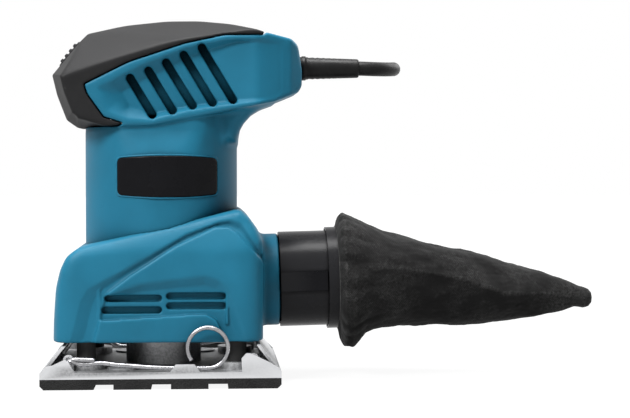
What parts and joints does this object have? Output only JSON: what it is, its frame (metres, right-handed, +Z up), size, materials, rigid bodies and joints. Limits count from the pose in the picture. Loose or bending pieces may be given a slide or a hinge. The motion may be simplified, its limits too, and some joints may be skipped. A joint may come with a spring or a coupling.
{
  "type": "palm finishing sander",
  "caption": "Palm finishing sander for a quarter sheet of paper, with wire paper clamps, a dust bag and a coiled mains lead.",
  "frame": {"origin": "centre of the sanding pad's working face", "axes": "+X towards the dust bag, +Y away from the front clamp's ring, +Z up out of the work"},
  "size_m": [0.2653, 0.2277, 0.1711],
  "materials": {
    "blue_plastic": "fine moulded texture",
    "black_plastic": "fine moulded texture",
    "gloss_black": "gloss",
    "cast_metal": "cast, satin",
    "foam": "fine closed-cell foam",
    "rubber": "matt",
    "bright_steel": "bright drawn wire",
    "dark_steel": "blackened",
    "core_steel": "laminated",
    "copper": "lacquered winding wire",
    "brass": "satin",
    "carbon": "matt",
    "bag_cloth": "twill, slightly dusty"
  },
  "bodies": {
    "housing": {"skirt": "blue_plastic", "housing_near": "blue_plastic", "housing_far": "blue_plastic", "grip_cap": "black_plastic", "nameplate_near": "gloss_black", "nameplate_far": "gloss_black", "bearing_bracket": "cast_metal", "bracket_screws": "dark_steel", "housing_screws": "dark_steel", "lower_bearing": "bright_steel", "upper_bearing": "bright_steel", "stator_core": "core_steel", "field_coils": "copper", "brush_holders": "brass", "brushes": "carbon", "brush_springs": "bright_steel", "switch_module": "black_plastic", "capacitor": "gloss_black", "cord_clamp": "black_plastic", "cord_guard": "rubber", "cord": "rubber", "cord_coil": "rubber", "coil_tie": "black_plastic", "plug_body": "rubber", "plug_pins": "bright_steel"},
    "rotor": {"rotor_shaft": "bright_steel", "armature_core": "core_steel", "armature_windings": "copper", "commutator": "copper", "fan": "black_plastic", "eccentric": "core_steel"},
    "platen": {"base_plate": "cast_metal", "sanding_pad": "foam", "rubber_legs": "rubber", "leg_screws": "dark_steel", "eccentric_bearing": "bright_steel", "bearing_retainer": "dark_steel"},
    "front_clamp_lever": {"front_clamp": "bright_steel"},
    "rear_clamp_lever": {"rear_clamp": "bright_steel"},
    "switch": {"switch_slider": "black_plastic"},
    "bag_unit": {"adapter_tube": "gloss_black", "bag_collar": "black_plastic", "dust_bag": "bag_cloth"}
  },
  "joints": [
    {"name": "motor_spin", "type": "hinge", "parent": "housing", "child": "rotor", "pos_m": [-0.00075, 0, 0.06], "axis": [0, 0, 1], "continuous": true},
    {"name": "platen_orbit", "type": "hinge", "parent": "rotor", "child": "platen", "pos_m": [0, 0, 0.0147], "axis": [0, 0, 1], "continuous": true},
    {"name": "front_clamp_lift", "type": "hinge", "parent": "platen", "child": "front_clamp_lever", "pos_m": [-0.0425, 0, 0.01285], "axis": [0, -1, 0], "range_deg": [0, 40]},
    {"name": "rear_clamp_lift", "type": "hinge", "parent": "platen", "child": "rear_clamp_lever", "pos_m": [0.0425, 0, 0.01285], "axis": [0, 1, 0], "range_deg": [0, 40]},
    {"name": "switch_slide", "type": "slide", "parent": "housing", "child": "switch", "axis": [0.6345, 0, 0.7729], "range_m": [0, 0.004]},
    {"name": "bag_pull_off", "type": "slide", "parent": "housing", "child": "bag_unit", "axis": [0.9997, 0, 0.0262], "range_m": [0, 0.06]}
  ],
  "couplings": [
    {"joint": "platen_orbit", "follows": "motor_spin", "ratio": -1}
  ]
}
